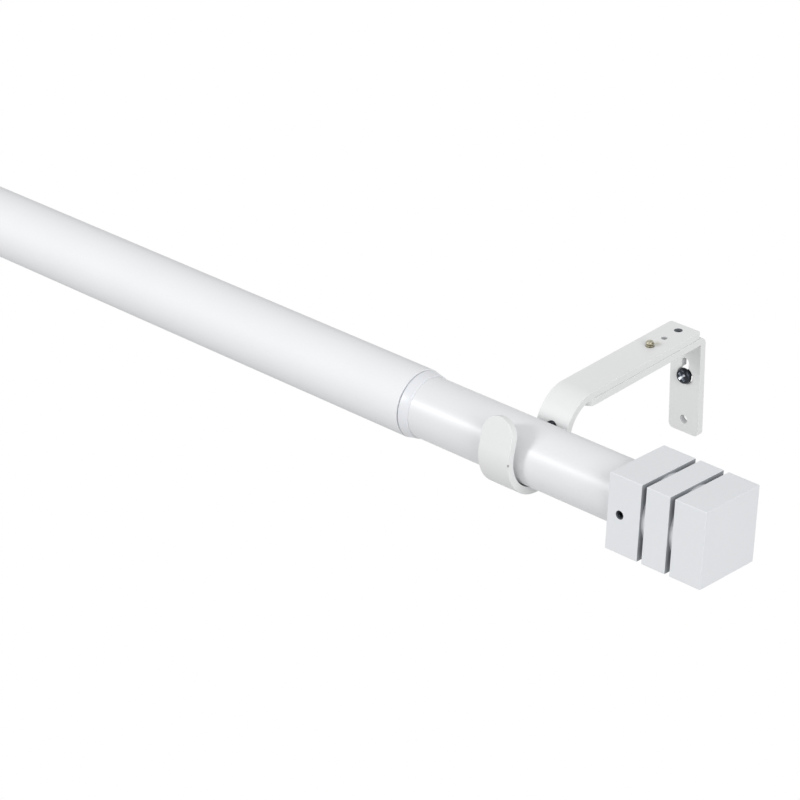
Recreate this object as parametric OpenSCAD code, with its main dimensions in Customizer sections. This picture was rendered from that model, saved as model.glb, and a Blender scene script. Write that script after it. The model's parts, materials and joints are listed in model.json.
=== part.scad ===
// Extendable curtain rod: two telescoping tubes with square finials, carried by
// two wall brackets that set how far the rod stands off the wall.
// Millimetres. X runs along the rod, Y into the wall, Z up.
// The origin is the middle of the left bracket's lower screw hole, on the wall.

/* [Rod tubes] */
// Outside diameter of the outer tube
outer_tube_d = 24.6; // [24:0.1:25.5]
// Wall of the outer tube
outer_tube_wall = 0.8; // [0.6:0.1:1]
// Length of the outer tube
outer_tube_l = 700; // [400:10:1200]
// Outside diameter of the inner tube
inner_tube_d = 22; // [20:0.5:22.5]
// Wall of the inner tube
inner_tube_wall = 0.8; // [0.6:0.1:1.2]
// Free room in the outer tube behind the inner tube's glide
inner_tube_room = 100.6; // [40:0.1:600]
// Length of inner tube that shows between the outer tube and the finial
inner_showing = 93.7; // [80:0.1:300]

/* [Collar and glide] */
// Length of the collar's tapered nose in front of the tube mouth
collar_nose_l = 4.4; // [3:0.1:8]
// Step from the outer tube's surface down to the collar's nose
collar_step = 0.25; // [0.1:0.05:0.4]
// Thickness of the collar's lip around the inner tube
collar_lip = 0.4; // [0.3:0.05:0.6]
// Length of the collar's plug inside the outer tube
collar_plug_l = 12; // [8:1:20]
// Length of the glide's ring on the hidden end of the inner tube
glide_ring_l = 8; // [5:1:15]
// Length of the glide's plug inside the inner tube
glide_plug_l = 12; // [8:1:20]
// Bore through the glide and through the finial adapter
plastic_bore_d = 15; // [10:0.5:17]

/* [Finials] */
// Side of the square finial
finial_side = 27.6; // [26:0.1:34]
// Length of the slice next to the tube
finial_lead_l = 13.1; // [12:0.1:18]
// Length of the middle slice
finial_mid_l = 9.4; // [6:0.1:15]
// Length of the end slice
finial_end_l = 12.4; // [8:0.1:20]
// Width of each turned groove
finial_groove_w = 1.95; // [1:0.05:3]
// Diameter left at the bottom of each groove
finial_neck_d = 25.6; // [18:0.1:25.8]
// Depth of the socket that takes the tube
finial_socket_l = 10.5; // [8:0.1:11]
// Bevel along each edge of the finial
finial_bevel = 0.25; // [0.1:0.05:0.8]
// Turn of the right finial about the rod
right_finial_turn = -3.9; // [-10:0.1:10]
// Thread of the finial's set screw
finial_screw_d = 3; // [3:0.5:5]
// Length of the finial's set screw
finial_screw_l = 2; // [1.5:0.1:2.4]
// Distance of that screw from the finial's inner face
finial_screw_in = 5; // [4:0.1:6]
// Thickness of the adapter's flange between left finial and outer tube
adapter_flange_t = 1.2; // [0.8:0.1:3]
// Length of the adapter's plug inside the outer tube
adapter_plug_l = 16; // [10:1:25]

/* [Bracket strip] */
// Width of the flat bar that arm and wall plate are bent from
strip_w = 13.2; // [11:0.1:18]
// Thickness of that bar
strip_t = 2.7; // [2:0.1:3]
// Distance from the middle of a bracket to the finial's inner face
bracket_inset = 47.1; // [30:0.1:80]

/* [Bracket arm] */
// Inside diameter of the cradle
cradle_d = 25.8; // [25.8:0.1:30]
// Length of the arm from its heel to the middle of the cradle
arm_l = 85.8; // [75:0.1:120]
// Height of the arm's top above the middle of the cradle
arm_rise = 10.6; // [8:0.1:16]
// Outside radius of the bend where the arm turns down
arm_bend_r = 14; // [8:0.5:16]
// Lean of the arm from upright behind the rod
arm_lean = 20; // [10:1:30]
// Lean of the cradle's tongue towards the rod
tongue_lean = 15; // [5:1:20]
// Length of the tongue from the cradle's curve to its round tip
tongue_l = 11.5; // [8:0.5:16]
// Radius at the corners of the arm's heel
heel_corner_r = 1; // [0.5:0.1:3]
// Distance of the first hole from the heel
arm_hole_in = 4.3; // [3:0.1:6]
// Spacing of the three holes along the arm
arm_hole_pitch = 7.8; // [6:0.1:10]
// Diameter of the pilot hole in the middle of the three
pilot_hole_d = 2.2; // [2:0.1:3]

/* [Wall plate] */
// Height of the wall plate
plate_h = 39.5; // [36:0.1:60]
// Outside radius of the bend between leg and plate
plate_bend_r = 3; // [2.8:0.1:5]
// Radius at the plate's lower corners
plate_corner_r = 2; // [1:0.1:5]
// Radius at the leg's front corners
leg_corner_r = 2.5; // [1:0.1:5]
// Height of the lower screw hole above the plate's bottom edge
lower_hole_h = 5.1; // [4:0.1:8]
// Diameter of the lower screw hole
lower_hole_d = 3.3; // [3:0.1:5]
// Height of the keyhole's round part above the lower hole
keyhole_h = 17.6; // [12:0.1:18]
// Diameter of the keyhole's round part
keyhole_d = 6.6; // [6.2:0.1:9]
// Width of the keyhole's slot
keyhole_slot_w = 3; // [2.9:0.1:4]
// Rise of the slot's end above the round part
keyhole_rise = 5.3; // [4.5:0.1:7]
// Distance of the arm's heel from the wall with the arm pushed in
heel_gap = 3; // [3:0.1:8]
// Length of leg left in front of its adjusting slot
leg_slot_land = 4; // [3:0.1:8]

/* [Screws] */
// Thread of the screw that clamps the arm to the leg
arm_screw_d = 3; // [2.5:0.5:4]
// Length of that screw's tip above the arm
arm_screw_out = 1.8; // [1:0.1:5]
// Diameter of its head
arm_screw_head_d = 6; // [5:0.1:8]
// Height of its head
arm_screw_head_h = 2; // [1.5:0.1:3]
// Outside diameter of the washer under its head
washer_d = 7; // [6.5:0.1:10]
// Thickness of that washer
washer_t = 0.8; // [0.5:0.1:1.2]
// Thread of the screw that locks the rod in the cradle
cradle_screw_d = 5; // [4:0.5:6]
// Length of that screw
cradle_screw_l = 8; // [7:0.5:12]
// Shank diameter of the wall screw
wall_screw_d = 2.8; // [2.5:0.1:3]
// Length of the wall screw below its head
wall_screw_l = 8.6; // [7:0.1:9]
// Diameter of its head
wall_screw_head_d = 5.8; // [5:0.1:6.2]
// Height of its head
wall_screw_head_h = 2; // [1.5:0.1:3]
// Height by which that head stands in front of the wall plate
wall_screw_proud = 1.8; // [0.5:0.1:2]

/* [Fits] */
// Radial gap of the plastic guides that slide on or in a tube
guide_gap = 0.04; // [0.02:0.01:0.05]
// Radial gap of the tube in the finial's socket
socket_gap = 0.1; // [0.05:0.01:0.3]
// Radial gap drawn between a screw and its tapped hole
thread_gap = 0.05; // [0.02:0.01:0.1]
// Gap drawn between the leg and what slides on it
slide_gap = 0.1; // [0.02:0.01:0.2]
// Radial gap of the arm screw in the leg's slot
slot_gap = 0.2; // [0.1:0.05:0.4]
// Gap drawn between the rod and what it rests on or is locked by
rest_gap = 0.1; // [0.05:0.05:0.2]

/* [Hidden] */
$fn = 96;

// How far cutting shapes run past the faces that they cut
overrun = 1;
// Angle between the points of a drawn arc
arc_step = 5;
// Sides of a hexagon socket and of its outline
hex_sides = 6;

// Share of the gap over the leg that the arm's bend may take up above the leg's front end
bend_drop_share = 0.6;

// Shares of a screw's own sizes
hex_af_share = 0.5;
hex_depth_share = 0.6;
cross_w_share = 0.16;
cross_l_share = 0.62;
cross_depth_share = 0.55;
head_rim_share = 0.45;
head_top_share = 0.62;
tip_bevel_share = 0.15;
point_l_share = 0.9;

// Heights on a bracket, above its lower screw hole
plate_bottom = -lower_hole_h;
leg_top = plate_bottom + plate_h;
leg_bottom = leg_top - strip_t;
arm_bottom = leg_top + slide_gap;
arm_top = arm_bottom + strip_t;
cradle_r = cradle_d / 2;
cradle_z = arm_top - arm_rise;
cradle_y = -heel_gap - arm_l;

// The rod rests at the bottom of both cradles, so the bracket of the thinner tube sits higher
rod_y = cradle_y;
rod_z = cradle_z - (cradle_r - outer_tube_d / 2 - rest_gap);
bracket_step = (outer_tube_d - inner_tube_d) / 2;

// Places along the rod
left_finial_x = -bracket_inset;
outer_tube_x = left_finial_x + adapter_flange_t;
mouth_x = outer_tube_x + outer_tube_l;
right_finial_x = mouth_x + inner_showing;
socket_end_gap = socket_gap;
inner_tube_end_x = right_finial_x + finial_socket_l - socket_end_gap;
inner_tube_x = outer_tube_x + adapter_plug_l + inner_tube_room + glide_ring_l;
inner_tube_l = inner_tube_end_x - inner_tube_x;
right_bracket_x = right_finial_x - bracket_inset;

// Bores and rounds that fit each other
outer_bore_d = outer_tube_d - 2 * outer_tube_wall;
inner_bore_d = inner_tube_d - 2 * inner_tube_wall;
collar_bore_d = inner_tube_d + 2 * guide_gap;
glide_ring_d = outer_bore_d - 2 * guide_gap;
socket_d = inner_tube_d + 2 * socket_gap;
finial_l = finial_lead_l + finial_groove_w + finial_mid_l + finial_groove_w + finial_end_l;

// Centre of the arm's bend, from the middle of the cradle: the straight length between
// bend and cradle touches the circles of both
bend_centre_z = arm_rise - arm_bend_r;
bend_centre_y = (cradle_r + arm_bend_r + bend_centre_z * sin(arm_lean)) / cos(arm_lean);
arm_screw_y = -heel_gap - arm_hole_in - 2 * arm_hole_pitch;

// Length of the leg that carries the arm, from the wall: its front end lies under the start
// of the arm's bend, as far as the gap between them lets it
bend_drop = bend_drop_share * slide_gap;
bend_inner_r = arm_bend_r - strip_t;
leg_l = heel_gap + arm_l - bend_centre_y + sqrt(bend_drop * (2 * bend_inner_r - bend_drop));

// A point turned about the origin
function turned(angle, p) = [
  p[0] * cos(angle) - p[1] * sin(angle), p[0] * sin(angle) + p[1] * cos(angle)
];

// Points along an arc, its angles counted from the first axis towards the second
function arc(centre, r, from, to) = let (steps = ceil(abs(to - from) / arc_step)) [
  for (i = [0 : steps]) centre + turned(from + (to - from) * i / steps, [r, 0])
];

// A round bar along X
module bar_x(d, l) rotate([0, 90, 0]) cylinder(d = d, h = l);

// A round bar along Y, running into the wall
module bar_y(d, l) rotate([-90, 0, 0]) cylinder(d = d, h = l);

// A tube along X
module tube_x(d, bore, l) difference() {
  bar_x(d, l);
  translate([-overrun, 0, 0]) bar_x(bore, l + 2 * overrun);
}

// Puts a shape on the rod's centre line at a place along it
module on_rod(x) translate([x, rod_y, rod_z]) children();

// Puts a bracket's piece at the left or the right bracket
module at_left() children();
module at_right() translate([right_bracket_x, 0, bracket_step]) children();

// Square outline with a bevel cut from each corner
module bevelled_square(a, b, e) polygon([
  [e, 0], [a - e, 0], [a, e], [a, b - e], [a - e, b], [e, b], [0, b - e], [0, e]
]);

// Block along X with every edge bevelled
module bevelled_block(l, side, e) intersection() {
  translate([0, -side / 2, -side / 2]) linear_extrude(side) bevelled_square(l, side, e);
  translate([0, side / 2, -side / 2]) rotate([90, 0, 0])
    linear_extrude(side) bevelled_square(l, side, e);
  rotate([90, 0, 90]) translate([-side / 2, -side / 2, 0])
    linear_extrude(l) bevelled_square(side, side, e);
}

// What a corner of radius r cuts from a bar: a square with a quarter round left in it
module corner_cut(r, t) translate([-r, -r, -overrun]) linear_extrude(t + 2 * overrun) difference() {
  square(r + overrun);
  circle(r);
}

// Both outer corners of a bar's end: the bar is w wide, lies along -Y and ends at Y = 0
module end_corners(w, r, t) {
  translate([w / 2, 0, 0]) corner_cut(r, t);
  mirror([1, 0, 0]) translate([w / 2, 0, 0]) corner_cut(r, t);
}

// Part of a ring bent from the bar, about the X axis; angles run from +Y towards +Z
module bent_strip(r_in, from, sweep) rotate([90, 0, 90])
  rotate_extrude(angle = sweep, start = from)
    translate([r_in, -strip_w / 2]) square([strip_t, strip_w]);

// Cross-shaped screwdriver recess, cut downwards from Z = 0
module cross_recess(head_d, head_h) {
  arm_w = head_d * cross_w_share;
  for (turn = [0, 90]) rotate(turn)
    translate([-head_d * cross_l_share / 2, -arm_w / 2, -head_h * cross_depth_share])
      cube([head_d * cross_l_share, arm_w, head_h * cross_depth_share + overrun]);
}

// Pan head above Z = 0 with its recess
module pan_head(head_d, head_h) difference() {
  rotate_extrude() polygon([
    [0, 0], [head_d / 2, 0], [head_d / 2, head_h * head_rim_share],
    [head_d / 2 * head_top_share, head_h], [0, head_h]
  ]);
  translate([0, 0, head_h]) cross_recess(head_d, head_h);
}

// Machine screw: head above Z = 0, shank below it with a bevelled tip
module machine_screw(d, l, head_d, head_h) {
  tip = d * tip_bevel_share;
  pan_head(head_d, head_h);
  rotate_extrude() polygon([
    [0, 0], [d / 2, 0], [d / 2, tip - l], [d / 2 - tip, -l], [0, -l]
  ]);
}

// Wood screw: head above Z = 0, shank below it with a sharp point
module wood_screw(d, l, head_d, head_h) {
  pan_head(head_d, head_h);
  rotate_extrude() polygon([[0, 0], [d / 2, 0], [d / 2, d * point_l_share - l], [0, -l]]);
}

// Set screw from Z = 0 downwards, with a hexagon socket in its upper end
module set_screw(d, l) difference() {
  tip = d * tip_bevel_share;
  rotate_extrude() polygon([
    [0, 0], [d / 2 - tip / 2, 0], [d / 2, -tip / 2], [d / 2, tip - l], [d / 2 - tip, -l], [0, -l]
  ]);
  translate([0, 0, -l * hex_depth_share])
    cylinder(d = d * hex_af_share / cos(180 / hex_sides), h = l, $fn = hex_sides);
}

// The rod

module outer_tube() color("white") on_rod(outer_tube_x)
  tube_x(outer_tube_d, outer_bore_d, outer_tube_l);

module inner_tube() color("white") on_rod(inner_tube_x)
  tube_x(inner_tube_d, inner_bore_d, inner_tube_l);

// Moulded ring that closes the gap between the tubes at the mouth
module tube_collar() color("whitesmoke") on_rod(mouth_x)
  rotate([0, 90, 0]) rotate_extrude() polygon([
    [collar_bore_d / 2, -collar_plug_l],
    [outer_bore_d / 2, -collar_plug_l],
    [outer_bore_d / 2, 0],
    [outer_tube_d / 2 - collar_step, 0],
    [outer_tube_d / 2 - collar_step, collar_step],
    [collar_bore_d / 2 + collar_lip, collar_nose_l],
    [collar_bore_d / 2, collar_nose_l]
  ]);

// Moulded glide that centres the hidden end of the inner tube
module inner_tube_glide() color("gainsboro") on_rod(inner_tube_x) difference() {
  union() {
    bar_x(inner_bore_d, glide_plug_l);
    translate([-glide_ring_l, 0, 0]) bar_x(glide_ring_d, glide_ring_l);
  }
  translate([-glide_ring_l - overrun, 0, 0])
    bar_x(plastic_bore_d, glide_ring_l + glide_plug_l + 2 * overrun);
}

// The finials

// Turned groove round the finial, starting at a place along it
module finial_groove(x) translate([x, 0, 0]) difference() {
  translate([0, -finial_side, -finial_side])
    cube([finial_groove_w, 2 * finial_side, 2 * finial_side]);
  translate([-overrun, 0, 0]) bar_x(finial_neck_d, finial_groove_w + 2 * overrun);
}

// Finial along X with its socket at X = 0 and its set screw's hole in the front
module finial() difference() {
  bevelled_block(finial_l, finial_side, finial_bevel);
  finial_groove(finial_lead_l);
  finial_groove(finial_lead_l + finial_groove_w + finial_mid_l);
  translate([-overrun, 0, 0]) bar_x(socket_d, finial_socket_l + overrun);
  translate([finial_screw_in, -finial_side, 0])
    bar_y(finial_screw_d + 2 * thread_gap, finial_side);
}

// The finial's set screw, its tip just clear of the tube
module finial_screw() translate([finial_screw_in, -inner_tube_d / 2 - thread_gap - finial_screw_l, 0])
  rotate([90, 0, 0]) set_screw(finial_screw_d, finial_screw_l);

module at_right_finial() on_rod(right_finial_x) rotate([right_finial_turn, 0, 0]) children();
module at_left_finial() on_rod(left_finial_x) mirror([1, 0, 0]) children();

module right_finial() color("white") at_right_finial() finial();
module right_finial_screw() color("dimgray") at_right_finial() finial_screw();
module left_finial() color("white") at_left_finial() finial();
module left_finial_screw() color("dimgray") at_left_finial() finial_screw();

// Stepped plug that lets the left finial fit the wider tube
module left_finial_adapter() color("gainsboro") on_rod(left_finial_x) difference() {
  union() {
    translate([socket_end_gap - finial_socket_l, 0, 0])
      bar_x(inner_tube_d, finial_socket_l - socket_end_gap);
    bar_x(outer_tube_d, adapter_flange_t);
    translate([adapter_flange_t, 0, 0]) bar_x(outer_bore_d, adapter_plug_l);
  }
  translate([-finial_socket_l - overrun, 0, 0])
    bar_x(plastic_bore_d, finial_socket_l + adapter_flange_t + adapter_plug_l + 2 * overrun);
}

// The brackets

// L-shaped wall plate: a leg for the arm and a plate with keyhole and lower screw hole
module wall_plate() difference() {
  union() {
    // Leg
    translate([-strip_w / 2, -leg_l, leg_bottom]) cube([strip_w, leg_l - plate_bend_r, strip_t]);
    // Bend
    translate([0, -plate_bend_r, leg_top - plate_bend_r])
      bent_strip(plate_bend_r - strip_t, 0, 90);
    // Plate
    translate([-strip_w / 2, -strip_t, plate_bottom])
      cube([strip_w, strip_t, plate_h - plate_bend_r]);
  }
  leg_slot();
  translate([0, -strip_t - overrun, 0]) bar_y(lower_hole_d, strip_t + 2 * overrun);
  keyhole();
  // Rounded front end of the leg
  translate([0, -leg_l, leg_bottom]) rotate(180) end_corners(strip_w, leg_corner_r, strip_t);
  // Rounded lower end of the plate
  translate([0, -strip_t, plate_bottom]) rotate([-90, 0, 0])
    end_corners(strip_w, plate_corner_r, strip_t);
}

// Slot in the leg that the arm screw travels along
module leg_slot() {
  slot_w = arm_screw_d + 2 * slot_gap;
  far_y = -leg_l + leg_slot_land + slot_w / 2;
  translate([0, 0, leg_bottom - overrun]) linear_extrude(strip_t + 2 * overrun) {
    translate([0, arm_screw_y]) circle(d = slot_w);
    translate([0, far_y]) circle(d = slot_w);
    translate([-slot_w / 2, far_y]) square([slot_w, arm_screw_y - far_y]);
  }
}

// Round part that lets a screw head through, and the slot above it
module keyhole() translate([0, -strip_t - overrun, keyhole_h]) {
  bar_y(keyhole_d, strip_t + 2 * overrun);
  translate([0, 0, keyhole_rise]) bar_y(keyhole_slot_w, strip_t + 2 * overrun);
  translate([-keyhole_slot_w / 2, 0, 0])
    cube([keyhole_slot_w, strip_t + 2 * overrun, keyhole_rise]);
}

// Side view of the bent bar in Y and Z about the middle of the cradle: along its face
// towards the rod from the heel to the tongue's tip, and back along the other face
function arm_outline() = let (
  bend_centre = [bend_centre_y, bend_centre_z],
  cradle_back = 360 - arm_lean,
  cradle_front = 180 - tongue_lean
) concat(
  [[arm_l, arm_rise]],
  arc(bend_centre, arm_bend_r, 90, 180 - arm_lean),
  arc([0, 0], cradle_r, cradle_back, cradle_front),
  [turned(-tongue_lean, [-cradle_r, tongue_l])],
  [turned(-tongue_lean, [-cradle_r - strip_t, tongue_l])],
  arc([0, 0], cradle_r + strip_t, cradle_front, cradle_back),
  arc(bend_centre, arm_bend_r - strip_t, 180 - arm_lean, 90),
  [[arm_l, arm_rise - strip_t]]
);

// Arm: a flat bar that turns down behind the rod, wraps under it and ends in a tongue
module bracket_arm() difference() {
  translate([-strip_w / 2, cradle_y, cradle_z]) rotate([90, 0, 90])
    linear_extrude(strip_w) polygon(arm_outline());
  // Holes near the heel, the last one tapped for the arm screw
  arm_hole(0, arm_screw_d);
  arm_hole(1, pilot_hole_d);
  arm_hole(2, arm_screw_d + 2 * thread_gap);
  // Tapped hole of the screw that locks the rod
  translate([0, cradle_y, cradle_z])
    bar_y(cradle_screw_d + 2 * thread_gap, cradle_r + bend_centre_y);
  // Half-round tip of the tongue
  translate([0, cradle_y, cradle_z]) rotate([-tongue_lean, 0, 0])
    translate([0, -cradle_r, tongue_l]) rotate([90, 0, 0])
      end_corners(strip_w, strip_w / 2, strip_t);
  // Eased corners of the heel
  translate([0, -heel_gap, arm_bottom]) end_corners(strip_w, heel_corner_r, strip_t);
}

// One of the holes near the arm's heel, by its place in the row
module arm_hole(i, d) translate([0, -heel_gap - arm_hole_in - i * arm_hole_pitch, arm_bottom - overrun])
  cylinder(d = d, h = strip_t + 2 * overrun);

module arm_screw() translate([0, arm_screw_y, leg_bottom - slide_gap - washer_t])
  mirror([0, 0, 1])
    machine_screw(arm_screw_d, washer_t + slide_gap + strip_t + slide_gap + strip_t + arm_screw_out,
      arm_screw_head_d, arm_screw_head_h);

module arm_washer() translate([0, arm_screw_y, leg_bottom - slide_gap - washer_t]) difference() {
  cylinder(d = washer_d, h = washer_t);
  translate([0, 0, -overrun])
    cylinder(d = arm_screw_d + 2 * slot_gap, h = washer_t + 2 * overrun);
}

// Lock screw, its tip just clear of the tube of diameter tube_d that lies in the cradle
module cradle_screw(tube_d)
  translate([0, cradle_y + tube_d / 2 + rest_gap + cradle_screw_l, cradle_z])
    rotate([-90, 0, 0]) set_screw(cradle_screw_d, cradle_screw_l);

// Screw into the wall through the round part of the keyhole
module wall_screw() translate([0, -strip_t - wall_screw_proud + wall_screw_head_h, keyhole_h])
  rotate([90, 0, 0])
    wood_screw(wall_screw_d, wall_screw_l, wall_screw_head_d, wall_screw_head_h);

module left_wall_plate() color("white") at_left() wall_plate();
module left_bracket_arm() color("white") at_left() bracket_arm();
module left_arm_screw() color("darkkhaki") at_left() arm_screw();
module left_arm_washer() color("darkkhaki") at_left() arm_washer();
module left_cradle_screw() color("dimgray") at_left() cradle_screw(outer_tube_d);
module left_wall_screw() color("dimgray") at_left() wall_screw();

module right_wall_plate() color("white") at_right() wall_plate();
module right_bracket_arm() color("white") at_right() bracket_arm();
module right_arm_screw() color("darkkhaki") at_right() arm_screw();
module right_arm_washer() color("darkkhaki") at_right() arm_washer();
module right_cradle_screw() color("dimgray") at_right() cradle_screw(inner_tube_d);
module right_wall_screw() color("dimgray") at_right() wall_screw();

outer_tube();
tube_collar();
inner_tube();
inner_tube_glide();
left_finial();
left_finial_adapter();
left_finial_screw();
right_finial();
right_finial_screw();
left_wall_plate();
left_bracket_arm();
left_arm_screw();
left_arm_washer();
left_cradle_screw();
left_wall_screw();
right_wall_plate();
right_bracket_arm();
right_arm_screw();
right_arm_washer();
right_cradle_screw();
right_wall_screw();
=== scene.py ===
# %% [markdown]
# An extendable curtain rod is two painted steel tubes, one sliding in the other, with a
# square finial on each end. Two wall brackets carry it: each has an L-shaped wall plate and
# an arm that slides along the plate's leg and ends in a cradle for the rod.
#
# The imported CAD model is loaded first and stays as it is. It fixes where every piece is and
# how it moves. This script adds what the eye looks for: rounded painted edges, threads,
# recesses and the finishes. Everything is in metres, in the frame of the CAD model: X runs
# along the rod, Y into the wall and Z up.

# %% Load the frame
import json
import math

import bmesh
import bpy
from mathutils import Matrix, Vector


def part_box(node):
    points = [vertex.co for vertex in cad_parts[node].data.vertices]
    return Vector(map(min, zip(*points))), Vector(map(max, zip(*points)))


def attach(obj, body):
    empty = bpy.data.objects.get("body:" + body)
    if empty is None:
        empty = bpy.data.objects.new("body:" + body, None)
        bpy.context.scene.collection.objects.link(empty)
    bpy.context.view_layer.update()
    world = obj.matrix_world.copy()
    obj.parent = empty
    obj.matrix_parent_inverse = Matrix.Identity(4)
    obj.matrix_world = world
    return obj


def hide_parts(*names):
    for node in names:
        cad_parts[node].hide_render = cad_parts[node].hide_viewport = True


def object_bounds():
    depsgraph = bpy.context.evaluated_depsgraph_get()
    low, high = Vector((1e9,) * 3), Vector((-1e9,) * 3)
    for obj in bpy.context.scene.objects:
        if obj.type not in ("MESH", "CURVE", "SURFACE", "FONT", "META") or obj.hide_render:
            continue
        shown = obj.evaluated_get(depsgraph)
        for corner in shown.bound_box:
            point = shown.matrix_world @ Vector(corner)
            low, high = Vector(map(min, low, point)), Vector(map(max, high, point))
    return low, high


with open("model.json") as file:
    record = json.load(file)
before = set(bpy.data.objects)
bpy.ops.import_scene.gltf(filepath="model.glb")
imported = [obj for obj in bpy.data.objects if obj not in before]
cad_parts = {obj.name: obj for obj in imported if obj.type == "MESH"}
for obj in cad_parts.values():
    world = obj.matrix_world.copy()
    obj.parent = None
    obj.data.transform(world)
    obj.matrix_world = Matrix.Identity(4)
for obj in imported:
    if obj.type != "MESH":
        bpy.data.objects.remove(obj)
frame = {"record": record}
cad_low, cad_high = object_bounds()
print("CAD box", [round(v, 4) for v in cad_low], [round(v, 4) for v in cad_high])

# %% [markdown]
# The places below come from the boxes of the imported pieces, so that everything built here
# follows the model. Only sizes that no box tells, such as a wall thickness or a thread's
# pitch, are typed in.

# %% Places along the rod
MM = 0.001


def middle(low, high):
    """The middle of a box."""
    return (low + high) / 2


outer_low, outer_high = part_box("outer_tube")
inner_low, inner_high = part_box("inner_tube")
rod_y = middle(outer_low, outer_high).y
rod_z = middle(outer_low, outer_high).z
outer_r = (outer_high.z - outer_low.z) / 2
inner_r = (inner_high.z - inner_low.z) / 2
mouth_x = outer_high.x
print("rod centre line at Y", round(rod_y, 4), "Z", round(rod_z, 4))
print("tube radii", round(outer_r, 4), round(inner_r, 4), "mouth at X", round(mouth_x, 4))

# %% [markdown]
# The camera comes from the photograph's perspective. The two tubes, the corners of the
# finial and the edges of the bracket were lined up with the model, which gives one place,
# one direction and one focal length. The place is told from where the rod enters the right
# finial. A focal length in pixels turns into a lens in millimetres through the sensor: both
# describe the same angle.

# %% Camera
PICTURE_SIDE = 800
SENSOR = 36.0
FOCAL_PIXELS = 3205.5
CAMERA_YAW = math.radians(43.144)
CAMERA_PITCH = math.radians(28.722)
CAMERA_ROLL = math.radians(-0.761)
CAMERA_OFFSET = Vector((555.15, -702.39, 525.40)) * MM
CLIP_START = 0.01
CLIP_END = 100


def add_camera():
    """A camera turned by yaw and pitch from looking along +Y, then rolled about its view."""
    forward = Vector((
        -math.sin(CAMERA_YAW) * math.cos(CAMERA_PITCH),
        math.cos(CAMERA_YAW) * math.cos(CAMERA_PITCH),
        -math.sin(CAMERA_PITCH),
    ))
    level = Vector((math.cos(CAMERA_YAW), math.sin(CAMERA_YAW), 0))
    above = level.cross(forward)
    right = math.cos(CAMERA_ROLL) * level + math.sin(CAMERA_ROLL) * above
    up = -math.sin(CAMERA_ROLL) * level + math.cos(CAMERA_ROLL) * above
    lens = bpy.data.cameras.new("camera")
    lens.sensor_width = SENSOR
    lens.lens = FOCAL_PIXELS / PICTURE_SIDE * SENSOR
    lens.clip_start = CLIP_START
    lens.clip_end = CLIP_END
    camera = bpy.data.objects.new("camera", lens)
    turn = Matrix((right, up, -forward)).transposed()
    place = Vector((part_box("right_finial")[0].x, rod_y, rod_z)) + CAMERA_OFFSET
    camera.matrix_world = Matrix.Translation(place) @ turn.to_4x4()
    bpy.context.scene.collection.objects.link(camera)
    bpy.context.scene.camera = camera
    return camera


camera = add_camera()
print("lens", round(camera.data.lens, 1), "mm")

# %% [markdown]
# Finishes are written as arithmetic on the sockets of shader nodes. A small class wraps one
# output socket and turns Python's operators into Math nodes, so that a mask can be written
# as 1 - fade. A second class holds the nodes of one material, or of the world, and all its
# other nodes come from one method.

# %% Shader arithmetic
class Wire:
    """One output socket of a finish, with Python's arithmetic."""

    def __init__(self, finish, socket):
        self.finish = finish
        self.socket = socket

    def math(self, operation, *terms):
        """A Math node on the terms."""
        return self.finish.node("ShaderNodeMath", {"operation": operation}, terms)

    def __add__(self, other):
        return self.math("ADD", self, other)

    def __radd__(self, other):
        return self.math("ADD", other, self)

    def __sub__(self, other):
        return self.math("SUBTRACT", self, other)

    def __rsub__(self, other):
        return self.math("SUBTRACT", other, self)

    def __mul__(self, other):
        return self.math("MULTIPLY", self, other)

    def __rmul__(self, other):
        return self.math("MULTIPLY", other, self)


class Finish:
    """The nodes of one owner, a material or the world, under construction."""

    def __init__(self, owner):
        self.owner = owner
        self.owner.use_nodes = True
        self.tree = self.owner.node_tree
        self.tree.nodes.clear()

    def connect(self, socket, value):
        """Links a wire to a socket, or sets the socket to a constant."""
        if isinstance(value, Wire):
            self.tree.links.new(value.socket, socket)
        else:
            socket.default_value = value

    def node(self, kind, settings=None, inputs=(), output=0):
        """Adds a node: its settings first, then its sockets by name or in order."""
        node = self.tree.nodes.new(kind)
        for key, value in (settings or {}).items():
            setattr(node, key, value)
        pairs = inputs.items() if isinstance(inputs, dict) else enumerate(inputs)
        for key, value in pairs:
            self.connect(node.inputs[key], value)
        if len(node.outputs) == 0:
            return None
        return Wire(self, node.outputs[output])

    def close(self, shader, kind="ShaderNodeOutputMaterial"):
        """Ends the nodes with the surface and gives back their owner."""
        self.node(kind, {}, {"Surface": shader})
        return self.owner


print("shader helpers ready")

# %% [markdown]
# White paint is never one flat number. Powder coat melts into a film with a faint orange
# peel, and its thickness, and with it the tone, drifts over a few centimetres. Noise in
# object coordinates gives both, at real sizes, and stays on the piece when it moves. The
# helpers below make such noise, and read a number that the mesh itself carries.

# %% Helpers for every finish
def tone(red, green, blue):
    """A screen colour, 0 to 255, turned into the linear values of nodes by the sRGB curve."""
    def linear(value):
        share = value / 255
        if share <= 0.04045:
            return share / 12.92
        return ((share + 0.055) / 1.055) ** 2.4
    return (linear(red), linear(green), linear(blue), 1)


def noise(finish, size, detail=2.0):
    """Soft noise whose lumps have a real size."""
    place = finish.node("ShaderNodeTexCoord", output="Object")
    inputs = {"Vector": place, "Scale": 1 / size, "Detail": detail}
    return finish.node("ShaderNodeTexNoise", {}, inputs, "Fac")


def distance_from(finish, place):
    """How far a spot of the surface is from a place, on the piece itself."""
    here = finish.node("ShaderNodeTexCoord", output="Object")
    settings = {"operation": "DISTANCE"}
    return finish.node("ShaderNodeVectorMath", settings, (here, place), "Value")


def bump(finish, height, distance):
    """A normal that follows a height between 0 and 1."""
    inputs = {"Height": height, "Distance": distance, "Strength": 1.0}
    return finish.node("ShaderNodeBump", {}, inputs, "Normal")


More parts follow.
